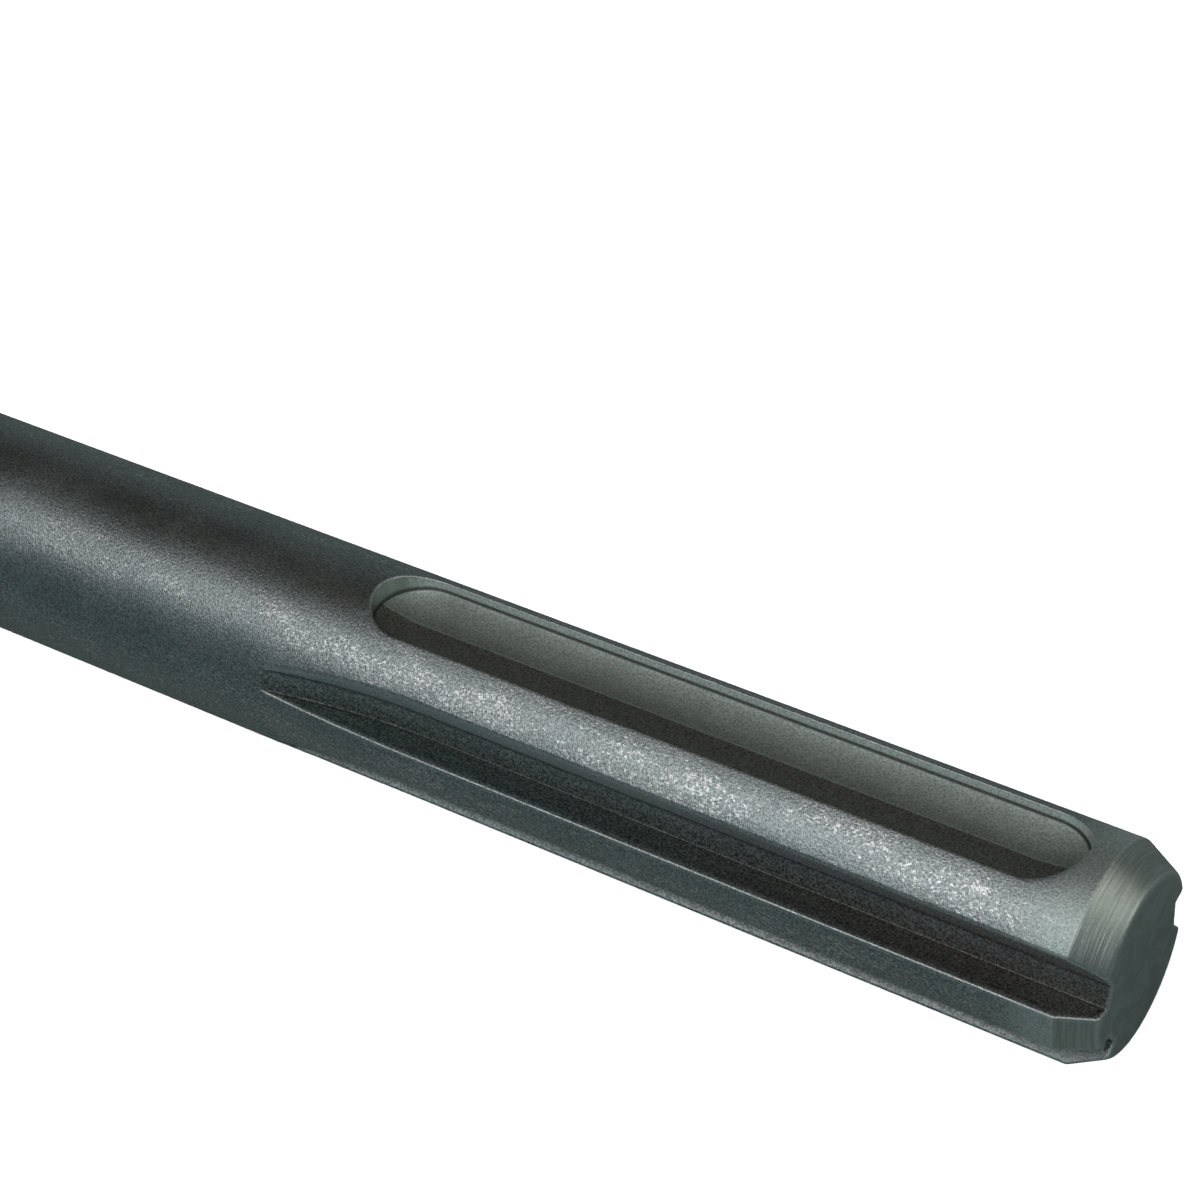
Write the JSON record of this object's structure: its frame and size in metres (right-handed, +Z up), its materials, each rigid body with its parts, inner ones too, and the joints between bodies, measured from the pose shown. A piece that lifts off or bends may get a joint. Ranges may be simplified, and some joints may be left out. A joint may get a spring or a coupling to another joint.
{
  "type": "hammer chisel",
  "caption": "Round steel chisel for a demolition hammer, with a grooved quick-change shank and a flat forged blade.",
  "frame": {"origin": "centre of the striking face, which is the flat end of the shank", "axes": "+X along the bar, out of the shank end; +Z up as the tool lies: rolled 37.3 degrees round its bar, from the pose with the upper locking groove on top and the blade level, until one side of the blade meets the floor, which is at z = -9 mm; +Y is the side where the blade touches the floor"},
  "size_m": [0.4, 0.0212, 0.018],
  "materials": {
    "hardened_steel": "dark grey hardened steel, blasted, with brighter turned chamfer and ground edge"
  },
  "bodies": {
    "root": {"chisel": "hardened_steel"}
  },
  "joints": []
}
